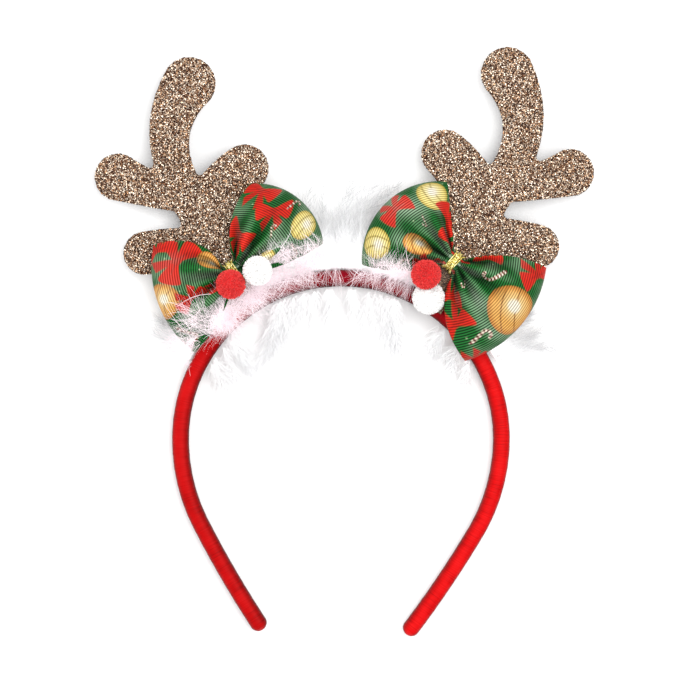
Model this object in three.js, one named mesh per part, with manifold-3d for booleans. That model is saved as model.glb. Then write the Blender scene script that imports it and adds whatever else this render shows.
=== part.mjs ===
// Reindeer antler headband, lying flat on its back: red wrapped hoop, two glitter foam antlers,
// two ribbon bows with gold ties, four pompoms and a feather trim along the crown.
// Millimetres, +Z up (the front of the headband), +Y toward the antler tips.
// The origin is on the flat back of the hoop, under the middle of the crown.
import * as THREE from 'three';
import { mergeVertices } from 'three/addons/utils/BufferGeometryUtils.js';
import Module from 'manifold-3d';

const wasm = await Module();
wasm.setup();

// Hoop
const CROWN_RADIUS = 60.3;
const TEMPLE_RADIUS = 70;
const TEMPLE_SWEEP = 29;
const LEG_RADIUS = 400;
const LEG_LENGTH = 46;
const BAND_THICK = 6.4;
const BAND_HEIGHT = 8;
const BAND_SIDES = 12;
const BAND_SQUARENESS = 2.6;
const TIP_ROUND = 3;

// Clearance between pieces that are glued or tied to each other
const SEAT = 0.3;

// Antlers
const ANTLER_SHEET = 2.2;
const ANTLER_BACK = BAND_HEIGHT + SEAT;
const ANTLER_FRONT = ANTLER_BACK + ANTLER_SHEET;
const STEM_HALF = 6.6;
// Where the stem meets the hoop, its lean from the middle, and how far up the stem the sheet begins
const ANTLERS = [
  { name: 'antler_right', side: 1, x: 30.6, y: -8.3, lean: 30.5, stemStart: -1 },
  { name: 'antler_left', side: -1, x: 35.4, y: -16.4, lean: 29.6, stemStart: 5 },
];
// Tines in the antler's own frame: +y along the stem, +x away from the head's middle
const TINES = [
  { root: [-0.5, 58], bend: [-1.4, 79.5], tip: [-20.6, 88.6], rootHalf: 6.8, tipRadius: 9.9 },
  { root: [0, 36], bend: [-8, 48], tip: [-24.3, 50.8], rootHalf: 10, tipRadius: 8.9 },
  { root: [-1.5, 50], bend: [9, 57.5], tip: [19.2, 69.9], rootHalf: 5.6, tipRadius: 8.8 },
  { root: [0, 29], bend: [10, 36], tip: [23.6, 40.0], rootHalf: 7.6, tipRadius: 8.0 },
];
const STEM_TOP = [-0.5, 62];
const TINE_STEPS = 9;
// How far a tine's sides run on past its root, inside the stem
const ROOT_RUN = 8;
// The corners between stem and tines are cut round
const NOTCH_ROUND = 1.6;
const NOTCH_SEGMENTS = 16;

// Bows
const RIBBON_WALL = 1.0;
const PINCH_HALF = 3.2;
const PINCH_NECK = 2.8;
const PINCH_GAP = 0.95;
const PINCH_EDGE_GAP = 0.6;
const BOW_HEIGHT = ANTLER_FRONT + 3.15;
const BACK_PUFF = 2.2;
const EDGE_DROP = 0.2;
const PLEAT_DEPTH = 1.5;
const LOOP_STEPS = 8;
const RIBBON_STEPS = 10;
// Each lobe fans out from the pinch: direction, half spread, reach at its first edge, middle and last edge,
// height, and how far the first and last edge swell out near the pinch
const BOWS = [
  {
    name: 'bow_right', x: 39.8, y: 7.3,
    lobes: [
      { aim: 140, spread: 47.4, reach: [30.5, 33.2, 34.9], puff: 8.5, swell: [0, 0.4] },
      { aim: -41.6, spread: 42.9, reach: [35.2, 34.4, 37.8], puff: 9.0, swell: [0.5, 0.8] },
    ],
  },
  {
    name: 'bow_left', x: -42.2, y: 0.9,
    lobes: [
      { aim: 204, spread: 44.7, reach: [32.5, 30.4, 33.7], puff: 8.5, swell: [1.0, 0.4] },
      { aim: 51.2, spread: 33.5, reach: [34.0, 36.4, 35.1], puff: 8.5, swell: [0.9, 0.4] },
    ],
  },
];

// Gold thread tie: turns of thread round the pinch
const TIE_LENGTH = 3.6;
const TIE_THICK = 1.0;
const TIE_TURNS = 3;
const TIE_SQUARENESS = 4;
const TIE_STEPS = 16;

// Pompoms: centre and radius; a pair that is pressed together shares a flat between the two
const TUFT = 0.07;
const POMPOMS = [
  { name: 'pompom_red_left', slot: 'pompom_red', at: [-42.8, -4.0, 22.4], radius: 5.2 },
  { name: 'pompom_white_left', slot: 'pompom_white', at: [-33.0, 1.3, 23.5], radius: 5.2 },
  { name: 'pompom_red_right', slot: 'pompom_red', at: [29.6, 2.0, 21.3], radius: 5.3 },
  { name: 'pompom_white_right', slot: 'pompom_white', at: [31.0, -6.6, 16.0], radius: 5.8 },
];
const PRESSED_PAIRS = [
  ['pompom_red_left', 'pompom_white_left'],
  ['pompom_red_right', 'pompom_white_right'],
];

// Feather trim: a cord on the outer side of the crown, with plumes that leave it in groups
const CORD_RADIUS = 1.6;
const CORD_HEIGHT = 4.2;
const CORD_END = 62;
const CORD_STEPS = 26;
const CORD_SIDES = 6;
const PLUME_HALF = 2.3;
const PLUME_FLAT = 0.62;
const PLUME_SIDES = 5;
// Where a plume's rings are along its curve
const OUTWARD_STOPS = [0, 0.2, 0.42, 0.64, 0.84, 1];
const INWARD_STOPS = [0, 0.13, 0.25, 0.5, 0.66, 0.84, 1];
// Groups along the crown by angle from its middle: outward plumes leave square to the hoop,
// inward ones cross the front of the hoop and hang toward the open end
const OUTWARD = [
  { from: -61, to: -47, count: 5, reach: 19, lean: -10, tipHeight: 2.4 },
  { from: -43, to: -20, count: 5, reach: 26, lean: 4, tipHeight: 3.6 },
  { from: -16, to: 15, count: 8, reach: 35, lean: 0, tipHeight: 5.0 },
  { from: 19, to: 42, count: 5, reach: 27, lean: -3, tipHeight: 3.6 },
  { from: 46, to: 61, count: 5, reach: 25, lean: 8, tipHeight: 2.4 },
];
const INWARD = [
  { from: -60, to: -49, count: 3, reach: 15, drift: 6 },
  { from: -28, to: -12, count: 5, reach: 34, drift: -5 },
  { from: -6, to: 9, count: 3, reach: 22, drift: 1 },
  { from: 14, to: 20, count: 3, reach: 29, drift: 2 },
  { from: 42, to: 57, count: 3, reach: 17, drift: -4 },
];
const RISING = [
  { from: -14, to: 11, count: 5, reach: 15, lean: 0, tipHeight: 9.4 },
];

const COLORS = {
  band_red: '#c8161a',
  antler_glitter: '#aa8d7b',
  bow_print: '#2f6b34',
  gold_thread: '#c99a4b',
  pompom_red: '#e23b3d',
  pompom_white: '#faf8f4',
  feather_white: '#f6f1ee',
};

const rad = THREE.MathUtils.degToRad;
const mix = THREE.MathUtils.lerp;

// Repeatable unevenness between -1 and 1
function uneven(index, seed) {
  return Math.sin(index * 12.9898 + seed * 78.233);
}

// Cosine or sine of an oval whose sides are flatter than a circle's
function squared(value, squareness) {
  return Math.sign(value) * Math.abs(value) ** (2 / squareness);
}

function indexed(positions, faces) {
  const geometry = new THREE.BufferGeometry();
  const coordinates = positions.flatMap((p) => [p.x, p.y, p.z]);
  geometry.setAttribute('position', new THREE.Float32BufferAttribute(coordinates, 3));
  geometry.setIndex(faces.flat());
  return geometry;
}

// Closed body through a row of rings with the same count of points; both ends get a middle point
function loft(rings) {
  const sides = rings[0].length;
  const points = rings.flat();
  const faces = [];
  for (let r = 0; r < rings.length - 1; r += 1) {
    for (let s = 0; s < sides; s += 1) {
      const a = r * sides + s;
      const b = r * sides + (s + 1) % sides;
      faces.push([a, b, b + sides], [a, b + sides, a + sides]);
    }
  }
  for (const [ring, first] of [[rings[0], 0], [rings.at(-1), (rings.length - 1) * sides]]) {
    const middle = ring.reduce((sum, p) => sum.add(p), new THREE.Vector3()).divideScalar(sides);
    const m = points.push(middle) - 1;
    for (let s = 0; s < sides; s += 1) {
      const a = first + s;
      const b = first + (s + 1) % sides;
      faces.push(first === 0 ? [b, a, m] : [a, b, m]);
    }
  }
  return indexed(points, faces);
}

function solid(geometry) {
  const bare = geometry.clone();
  bare.deleteAttribute('normal');
  bare.deleteAttribute('uv');
  const merged = mergeVertices(bare, 1e-5);
  return new wasm.Manifold(new wasm.Mesh({
    numProp: 3,
    vertProperties: new Float32Array(merged.attributes.position.array),
    triVerts: new Uint32Array(merged.index.array),
  }));
}

function geometryOf(manifold) {
  const mesh = manifold.getMesh();
  const geometry = new THREE.BufferGeometry();
  geometry.setAttribute('position', new THREE.BufferAttribute(new Float32Array(mesh.vertProperties), 3));
  geometry.setIndex(new THREE.BufferAttribute(new Uint32Array(mesh.triVerts), 1));
  return geometry;
}

// Right half of the hoop's centreline as stations: point, and direction away from the open inside
function hoopStation(distance) {
  const crownLength = CROWN_RADIUS * Math.PI / 2;
  const templeLength = TEMPLE_RADIUS * rad(TEMPLE_SWEEP);
  const arcs = [
    { radius: CROWN_RADIUS, length: crownLength },
    { radius: TEMPLE_RADIUS, length: templeLength },
    { radius: LEG_RADIUS, length: LEG_LENGTH },
  ];
  const point = new THREE.Vector2(0, 0);
  let heading = 0;
  let left = distance;
  for (const arc of arcs) {
    const run = Math.min(left, arc.length);
    const turned = heading + run / arc.radius;
    point.x += arc.radius * (Math.sin(turned) - Math.sin(heading));
    point.y += arc.radius * (Math.cos(turned) - Math.cos(heading));
    heading = turned;
    left -= run;
  }
  return { point, out: new THREE.Vector2(Math.sin(heading), Math.cos(heading)) };
}

function bandGeometry() {
  const crownLength = CROWN_RADIUS * Math.PI / 2;
  const templeLength = TEMPLE_RADIUS * rad(TEMPLE_SWEEP);
  const half = crownLength + templeLength + LEG_LENGTH;
  const distances = [];
  for (let i = 1; i <= 18; i += 1) distances.push(crownLength * i / 18);
  for (let i = 1; i <= 7; i += 1) distances.push(crownLength + templeLength * i / 7);
  for (let i = 1; i <= 5; i += 1) distances.push(mix(crownLength + templeLength, half - TIP_ROUND, i / 5));
  for (const part of [0.5, 0.86]) distances.push(half - TIP_ROUND + TIP_ROUND * part);
  const signed = [...distances.map((d) => -d).reverse(), 0, ...distances];
  const lowest = squared(Math.cos(Math.PI / BAND_SIDES), BAND_SQUARENESS);
  const rings = signed.map((d) => {
    const station = hoopStation(Math.abs(d));
    const side = d < 0 ? -1 : 1;
    const past = Math.max(0, Math.abs(d) - (half - TIP_ROUND)) / TIP_ROUND;
    const scale = Math.sqrt(1 - past * past);
    return Array.from({ length: BAND_SIDES }, (_, k) => {
      const angle = (k + 0.5) * 2 * Math.PI / BAND_SIDES;
      const across = scale * BAND_THICK / 2 * squared(Math.cos(angle), BAND_SQUARENESS);
      const height = BAND_HEIGHT / 2 * (1 + scale * squared(Math.sin(angle), BAND_SQUARENESS) / lowest);
      return new THREE.Vector3(
        side * (station.point.x + across * station.out.x),
        station.point.y + across * station.out.y,
        height,
      );
    });
  });
  return loft(rings);
}

// One tine's edge: up its right side, round its tip and back down its left side.
// Both sides run on straight past the root, into the stem.
function tineEdge(tine) {
  const root = new THREE.Vector2(...tine.root);
  const bend = new THREE.Vector2(...tine.bend);
  const tip = new THREE.Vector2(...tine.tip);
  const spine = new THREE.QuadraticBezierCurve(root, bend, tip);
  const leftSide = [];
  const rightSide = [];
  for (let i = 0; i <= TINE_STEPS; i += 1) {
    const t = i / TINE_STEPS;
    const at = spine.getPoint(t);
    const along = spine.getTangent(t);
    const half = mix(tine.rootHalf, tine.tipRadius, t * t);
    leftSide.push(new THREE.Vector2(at.x - along.y * half, at.y + along.x * half));
    rightSide.push(new THREE.Vector2(at.x + along.y * half, at.y - along.x * half));
  }
  const back = spine.getTangent(0).multiplyScalar(-ROOT_RUN);
  leftSide.unshift(leftSide[0].clone().add(back));
  rightSide.unshift(rightSide[0].clone().add(back));
  const end = spine.getTangent(1);
  const facing = Math.atan2(end.y, end.x);
  const cap = [];
  for (let i = 1; i < TINE_STEPS; i += 1) {
    const angle = facing - Math.PI / 2 + Math.PI * i / TINE_STEPS;
    cap.push(new THREE.Vector2(
      tip.x + tine.tipRadius * Math.cos(angle),
      tip.y + tine.tipRadius * Math.sin(angle),
    ));
  }
  return [...rightSide, ...cap, ...leftSide.reverse()];
}

// An edge moved out of the sheet by the notch radius; the sheet is on the edge's left
function movedOut(edge) {
  return edge.map((point, i) => {
    const before = edge[Math.max(i - 1, 0)];
    const after = edge[Math.min(i + 1, edge.length - 1)];
    const arriving = point.clone().sub(before).normalize();
    const leaving = after.clone().sub(point).normalize();
    const along = arriving.add(leaving).normalize();
    return new THREE.Vector2(point.x + along.y * NOTCH_ROUND, point.y - along.x * NOTCH_ROUND);
  });
}

function edgePoint(edge, place) {
  const i = Math.min(Math.floor(place), edge.length - 2);
  return edge[i].clone().lerp(edge[i + 1], place - i);
}

// The notch where one edge gives way to the next: the centre of its round, and its place on both edges
function notchBetween(first, second) {
  const a = movedOut(first);
  const b = movedOut(second);
  for (let i = 0; i < a.length - 1; i += 1) {
    for (let j = 0; j < b.length - 1; j += 1) {
      const u = a[i + 1].clone().sub(a[i]);
      const v = b[j + 1].clone().sub(b[j]);
      const turn = u.cross(v);
      const apart = b[j].clone().sub(a[i]);
      const s = apart.cross(v) / turn;
      const t = apart.cross(u) / turn;
      if (turn < 0 && s >= 0 && s <= 1 && t >= 0 && t <= 1) {
        return { centre: a[i].clone().addScaledVector(u, s), leave: i + s, join: j + t };
      }
    }
  }
  throw new Error('two edges of an antler do not meet');
}

function notchRound(notch, from, to) {
  const start = from.clone().sub(notch.centre);
  const finish = to.clone().sub(notch.centre);
  const sweep = Math.atan2(start.cross(finish), start.dot(finish));
  const steps = Math.max(1, Math.round(Math.abs(sweep) / (2 * Math.PI) * NOTCH_SEGMENTS));
  const middle = [];
  for (let i = 1; i < steps; i += 1) {
    const ray = start.clone().rotateAround(new THREE.Vector2(), sweep * i / steps);
    middle.push(ray.setLength(mix(start.length(), finish.length(), i / steps)).add(notch.centre));
  }
  return [from, ...middle, to];
}

function antlerOutline(antler) {
  const stemRight = [
    new THREE.Vector2(STEM_HALF, antler.stemStart),
    new THREE.Vector2(STEM_TOP[0] + STEM_HALF, STEM_TOP[1]),
  ];
  const stemLeft = [
    new THREE.Vector2(STEM_TOP[0] - STEM_HALF, STEM_TOP[1]),
    new THREE.Vector2(-STEM_HALF, antler.stemStart),
  ];
  const [top, innerLow, outerHigh, outerLow] = TINES.map(tineEdge);
  const edges = [stemRight, outerLow, stemRight, outerHigh, top, innerLow, stemLeft];
  const outline = [stemRight[0]];
  let joined = 0;
  edges.slice(1).forEach((next, k) => {
    const edge = edges[k];
    const notch = notchBetween(edge, next);
    outline.push(...edge.filter((_, i) => i > joined && i < notch.leave));
    outline.push(...notchRound(notch, edgePoint(edge, notch.leave), edgePoint(next, notch.join)));
    joined = notch.join;
  });
  outline.push(stemLeft[1]);
  return outline;
}

function antlerGeometry(antler) {
  const sheet = new THREE.ExtrudeGeometry(new THREE.Shape(antlerOutline(antler)), {
    depth: ANTLER_SHEET,
    bevelEnabled: false,
  });
  sheet.deleteAttribute('normal');
  sheet.deleteAttribute('uv');
  const geometry = mergeVertices(sheet, 1e-5);
  geometry.rotateZ(-rad(antler.lean));
  geometry.translate(antler.x, antler.y, ANTLER_BACK);
  return antler.side > 0 ? geometry : mirrored(geometry);
}

function mirrored(geometry) {
  geometry.scale(-1, 1, 1);
  const index = geometry.index.array;
  for (let i = 0; i < index.length; i += 3) [index[i], index[i + 1]] = [index[i + 1], index[i]];
  return geometry;
}

// Middle surface of one lobe: phi runs from the front pinch (0) round the fold (pi) to the back pinch (2 pi)
function lobePoint(bow, lobe, turn, across, phi, t) {
  const out = (1 - Math.cos(phi)) / 2;
  const [low, middle, high] = lobe.reach;
  const reach = middle + t * (high - low) / 2 + t * t * ((high + low) / 2 - middle);
  const swell = mix(...lobe.swell, (t + 1) / 2);
  const angle = rad(lobe.aim + turn * t * lobe.spread * (1 + swell * (1 - out)));
  const fan = out * (reach - PINCH_NECK);
  const puff = phi < Math.PI ? lobe.puff * (1 - EDGE_DROP * t * t) : BACK_PUFF;
  const pleat = phi < Math.PI ? PLEAT_DEPTH * 6.75 * out * (1 - out) ** 2 * Math.cos(2 * Math.PI * t) : 0;
  const layer = mix(PINCH_GAP, PINCH_EDGE_GAP, t * t) * Math.cos(phi / 2);
  const lift = layer + puff * Math.sin(phi) * Math.sin(phi / 2) - pleat;
  const gather = t * PINCH_HALF * (1 - out);
  return new THREE.Vector3(
    bow.x + turn * PINCH_NECK * across.y + fan * Math.cos(angle) + across.x * gather,
    bow.y - turn * PINCH_NECK * across.x + fan * Math.sin(angle) + across.y * gather,
    BOW_HEIGHT + lift,
  );
}

function bowAcross(bow) {
  const first = rad(bow.lobes[0].aim + 90);
  const second = rad(bow.lobes[1].aim - 90);
  return new THREE.Vector2(
    Math.cos(first) + Math.cos(second),
    Math.sin(first) + Math.sin(second),
  ).normalize();
}

// One ribbon loop: rows go round through both lobes, columns go across the ribbon
function bowGeometry(bow) {
  const across = bowAcross(bow);
  const rows = [];
  for (const [lobe, turn] of [[bow.lobes[0], 1], [bow.lobes[1], -1]]) {
    for (let i = 0; i <= LOOP_STEPS * 2; i += 1) {
      const phi = Math.PI * (turn > 0 ? i : 2 * LOOP_STEPS - i) / LOOP_STEPS;
      rows.push(Array.from({ length: RIBBON_STEPS + 1 }, (_, c) => (
        lobePoint(bow, lobe, turn, across, phi, 2 * c / RIBBON_STEPS - 1))));
    }
  }
  const columns = RIBBON_STEPS + 1;
  const count = rows.length;
  const outer = [];
  const inner = [];
  for (let r = 0; r < count; r += 1) {
    for (let c = 0; c < columns; c += 1) {
      const along = rows[(r + 1) % count][c].clone().sub(rows[(r + count - 1) % count][c]);
      const wide = rows[r][Math.min(c + 1, columns - 1)].clone().sub(rows[r][Math.max(c - 1, 0)]);
      const normal = along.cross(wide).normalize().multiplyScalar(RIBBON_WALL / 2);
      outer.push(rows[r][c].clone().sub(normal));
      inner.push(rows[r][c].clone().add(normal));
    }
  }
  const faces = [];
  const total = count * columns;
  for (let r = 0; r < count; r += 1) {
    const next = (r + 1) % count;
    for (let c = 0; c < columns - 1; c += 1) {
      const a = r * columns + c;
      const b = next * columns + c;
      faces.push([a, a + 1, b + 1], [a, b + 1, b]);
      faces.push([total + a, total + b + 1, total + a + 1], [total + a, total + b, total + b + 1]);
    }
    for (const [c, flip] of [[0, false], [columns - 1, true]]) {
      const a = r * columns + c;
      const b = next * columns + c;
      if (flip) faces.push([a, total + a, total + b], [a, total + b, b]);
      else faces.push([a, total + b, total + a], [a, b, total + b]);
    }
  }
  return indexed([...outer, ...inner], faces);
}

function tieGeometry(bow) {
  const across = bowAcross(bow);
  const halfWide = PINCH_HALF + SEAT;
  const halfHigh = PINCH_GAP + RIBBON_WALL / 2 + SEAT;
  const profile = [];
  const bumps = 2 * TIE_TURNS;
  for (let i = 0; i <= bumps; i += 1) {
    const bulge = 0.72 + 0.28 * Math.abs(Math.sin(Math.PI * TIE_TURNS * i / bumps));
    const along = TIE_LENGTH * (i / bumps - 0.5);
    profile.push([along, i === 0 || i === bumps ? TIE_THICK * 0.55 : TIE_THICK * bulge]);
  }
  const section = [[-TIE_LENGTH / 2, 0], ...profile, [TIE_LENGTH / 2, 0]];
  const points = [];
  const faces = [];
  for (let s = 0; s < TIE_STEPS; s += 1) {
    const angle = 2 * Math.PI * s / TIE_STEPS;
    for (const [along, thick] of section) {
      const wide = (halfWide + thick) * squared(Math.cos(angle), TIE_SQUARENESS);
      const high = (halfHigh + thick) * squared(Math.sin(angle), TIE_SQUARENESS);
      points.push(new THREE.Vector3(
        bow.x + wide * across.x + along * across.y,
        bow.y + wide * across.y - along * across.x,
        BOW_HEIGHT + high,
      ));
    }
  }
  const size = section.length;
  for (let s = 0; s < TIE_STEPS; s += 1) {
    for (let k = 0; k < size; k += 1) {
      const a = s * size + k;
      const b = s * size + (k + 1) % size;
      const c = ((s + 1) % TIE_STEPS) * size + k;
      const d = ((s + 1) % TIE_STEPS) * size + (k + 1) % size;
      faces.push([a, d, b], [a, c, d]);
    }
  }
  return indexed(points, faces);
}

function pompomGeometry(pompom) {
  const center = new THREE.Vector3(...pompom.at);
  const geometry = new THREE.IcosahedronGeometry(1, 3);
  geometry.deleteAttribute('normal');
  geometry.deleteAttribute('uv');
  const ball = mergeVertices(geometry, 1e-4);
  const pair = PRESSED_PAIRS.find((names) => names.includes(pompom.name));
  const other = POMPOMS.find((p) => pair.includes(p.name) && p.name !== pompom.name);
  const toward = new THREE.Vector3(...other.at).sub(center);
  const distance = toward.length();
  toward.normalize();
  const flat = distance * pompom.radius / (pompom.radius + other.radius) - SEAT / 2;
  const position = ball.attributes.position;
  for (let i = 0; i < position.count; i += 1) {
    const direction = new THREE.Vector3().fromBufferAttribute(position, i).normalize();
    const tuft = Math.sin(11 * direction.x + 2 * i) * Math.cos(9 * direction.y - i);
    const point = direction.multiplyScalar(pompom.radius * (1 - TUFT + TUFT * tuft));
    const past = point.dot(toward) - flat;
    if (past > 0) point.addScaledVector(toward, -past);
    point.add(center);
    position.setXYZ(i, point.x, point.y, point.z);
  }
  return ball;
}

// Point of the crown by angle from its middle, at a distance outside the hoop's centreline
function crownPoint(angle, outside, height) {
  const radius = CROWN_RADIUS + outside;
  return new THREE.Vector3(
    radius * Math.sin(rad(angle)),
    radius * Math.cos(rad(angle)) - CROWN_RADIUS,
    height,
  );
}

// Flat plume along a curve: widest in its first half, fine at the tip
function plume(points, width, stops) {
  const curve = new THREE.CatmullRomCurve3(points, false, 'centripetal');
  const rings = stops.map((t) => {
    const at = curve.getPoint(t);
    const along = curve.getTangent(t);
    const flatSide = new THREE.Vector3(-along.y, along.x, 0).normalize();
    const upSide = along.clone().cross(flatSide).normalize();
    const fullness = Math.min(1, 0.4 + 3.5 * t * (1 - t) ** 1.2) * (1 - 0.6 * t * t);
    const half = width * (t === 1 ? 0.12 : fullness);
    const thin = PLUME_FLAT * (t === 1 ? 0.3 : 1 - 0.4 * t);
    return Array.from({ length: PLUME_SIDES }, (_, k) => {
      const angle = 2 * Math.PI * k / PLUME_SIDES;
      return at.clone()
        .addScaledVector(flatSide, half * Math.cos(angle))
        .addScaledVector(upSide, thin * Math.sin(angle));
    });
  });
  return solid(loft(rings));
}

function featherGeometry() {
  const cordOut = BAND_THICK / 2 + SEAT + CORD_RADIUS;
  const rings = [];
  for (let i = 0; i <= CORD_STEPS; i += 1) {
    const angle = mix(-CORD_END, CORD_END, i / CORD_STEPS);
    rings.push(Array.from({ length: CORD_SIDES }, (_, k) => {
      const turn = 2 * Math.PI * k / CORD_SIDES;
      const outside = cordOut + CORD_RADIUS * Math.cos(turn);
      const height = CORD_HEIGHT + CORD_RADIUS * Math.sin(turn);
      return crownPoint(angle, outside, height);
    }));
  }
  let body = solid(loft(rings));
  const spread = (group, i) => mix(group.from, group.to, i / (group.count - 1));
  for (const [g, group] of [...OUTWARD, ...RISING].entries()) {
    for (let i = 0; i < group.count; i += 1) {
      const angle = spread(group, i);
      const root = crownPoint(angle, cordOut, CORD_HEIGHT);
      const reach = group.reach * (0.86 + 0.14 * uneven(i, g));
      const heading = rad(90 - angle - group.lean - 14 * uneven(i, g + 20));
      const away = new THREE.Vector3(Math.cos(heading), Math.sin(heading), 0);
      const sway = new THREE.Vector3(-away.y, away.x, 0).multiplyScalar(0.1 * reach * uneven(i, g + 40));
      const middle = root.clone().addScaledVector(away, reach * 0.5).add(sway);
      const tip = root.clone().addScaledVector(away, reach);
      middle.z = mix(CORD_HEIGHT, group.tipHeight, 0.62) + 0.6;
      tip.z = group.tipHeight;
      body = body.add(plume([root, middle, tip], PLUME_HALF, OUTWARD_STOPS));
    }
  }
  for (const [g, group] of INWARD.entries()) {
    for (let i = 0; i < group.count; i += 1) {
      const angle = spread(group, i);
      const reach = group.reach * (0.84 + 0.16 * uneven(i, g + 60));
      const root = crownPoint(angle, cordOut, CORD_HEIGHT);
      const shoulder = crownPoint(angle, 3.4, BAND_HEIGHT + 1.0);
      const inside = crownPoint(angle, -3.9, BAND_HEIGHT + 1.0);
      const tip = inside.clone().add(new THREE.Vector3(group.drift + 3 * uneven(i, g + 80), -reach, 0));
      tip.z = 1.8;
      const middle = inside.clone().lerp(tip, 0.5);
      middle.z = 5.2;
      body = body.add(plume([root, shoulder, inside, middle, tip], PLUME_HALF * 0.8, INWARD_STOPS));
    }
  }
  return geometryOf(body);
}

const model = new THREE.Group();

function addPiece(name, slot, geometry) {
  const look = new THREE.MeshStandardMaterial({ color: COLORS[slot], name: slot });
  const mesh = new THREE.Mesh(geometry, look);
  mesh.name = name;
  model.add(mesh);
}

addPiece('band', 'band_red', bandGeometry());
for (const antler of ANTLERS) addPiece(antler.name, 'antler_glitter', antlerGeometry(antler));
for (const bow of BOWS) {
  addPiece(bow.name, 'bow_print', bowGeometry(bow));
  addPiece(bow.name.replace('bow', 'bow_tie'), 'gold_thread', tieGeometry(bow));
}
for (const pompom of POMPOMS) addPiece(pompom.name, pompom.slot, pompomGeometry(pompom));
addPiece('feather_trim', 'feather_white', featherGeometry());

export default model;
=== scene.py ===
"""Dressed scene of a reindeer antler headband that lies flat, seen from straight above.

Sizes are in millimetres until a mesh is made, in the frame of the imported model: +Z is the front of the
headband, +Y points to the antler tips, and the origin is on the hoop's flat back under the crown.
"""
from collections import namedtuple
from math import atan2, cos, hypot, pi, radians, sin, sqrt

import bpy
import numpy as np
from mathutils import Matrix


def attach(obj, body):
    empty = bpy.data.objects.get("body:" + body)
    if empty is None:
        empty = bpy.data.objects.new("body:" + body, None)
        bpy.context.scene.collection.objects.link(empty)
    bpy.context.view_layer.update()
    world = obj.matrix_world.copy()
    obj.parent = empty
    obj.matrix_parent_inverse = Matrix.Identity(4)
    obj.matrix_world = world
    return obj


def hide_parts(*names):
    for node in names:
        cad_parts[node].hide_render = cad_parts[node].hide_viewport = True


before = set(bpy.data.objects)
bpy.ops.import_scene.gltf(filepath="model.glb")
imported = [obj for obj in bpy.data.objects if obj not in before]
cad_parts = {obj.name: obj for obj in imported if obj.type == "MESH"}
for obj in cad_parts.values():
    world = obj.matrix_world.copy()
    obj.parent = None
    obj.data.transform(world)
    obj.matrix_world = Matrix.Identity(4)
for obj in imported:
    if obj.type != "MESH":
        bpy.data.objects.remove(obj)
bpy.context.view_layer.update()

MM = 0.001
BODY = "root"

# Hoop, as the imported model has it, and the tape that is wound round it
CROWN_RADIUS = 60.3
CROWN_LENGTH = CROWN_RADIUS * pi / 2
TEMPLE_RADIUS = 70.0
TEMPLE_LENGTH = TEMPLE_RADIUS * radians(29)
LEG_RADIUS = 400.0
LEG_LENGTH = 46.0
BAND_THICK = 6.4
BAND_HEIGHT = 8.0
BAND_SQUARENESS = 2.6
BAND_STATIONS = 601
BAND_SIDES = 31
TIP_ROUND = 3.0
TIP_STEPS = 8
WRAP_PITCH = 6.0
WRAP_STEP = 0.07
WRAP_SLANT = 0.4

# Bows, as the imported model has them, with finer gathers at the tie
ANTLER_FRONT = 10.5
RIBBON_HALF = 24.0
RIBBON_WALL = 0.5
PINCH_HALF = 3.2
PINCH_NECK = 2.8
PINCH_GAP = 0.95
PINCH_EDGE_GAP = 0.6
BOW_HEIGHT = ANTLER_FRONT + 3.15
BACK_PUFF = 2.2
EDGE_DROP = 0.2
PLEAT_DEPTH = 1.5
# Brings the pleat's outline, out * (1 - out) ** 2, to a height of 1
PLEAT_LEVEL = 6.75
GATHERS = 4.0
GATHER_DEPTH = 1.75
EDGE_FLUTTER = 0.5
RIB_PITCH = 0.9
# Millimetres of ribbon in one unit of its map
MAP_UNIT = 100
RIBBON_COLUMNS = 121
FRONT_STEPS = 160
BACK_STEPS = 36
# The ribbon's flat size is in metres. A lobe's fan has an aim and a half angle, a reach at its first edge,
# middle and last edge, a puff, a swell of the angle near the knot at both edges, and a turning sense
Bow = namedtuple("Bow", "knot flat lobes")
Lobe = namedtuple("Lobe", "aim spread reach puff swell turn")
BOWS = {
    "bow_right": Bow((39.8, 7.3), (0.045, 0.146), (
        Lobe(140, 47.4, (30.5, 33.2, 34.9), 8.5, (0, 0.4), 1),
        Lobe(-41.6, 42.9, (35.2, 34.4, 37.8), 9.0, (0.5, 0.8), -1),
    )),
    "bow_left": Bow((-42.2, 0.9), (0.045, 0.138), (
        Lobe(204, 44.7, (32.5, 30.4, 33.7), 8.5, (1.0, 0.4), 1),
        Lobe(51.2, 33.5, (34.0, 36.4, 35.1), 8.5, (0.9, 0.4), -1),
    )),
}

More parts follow.
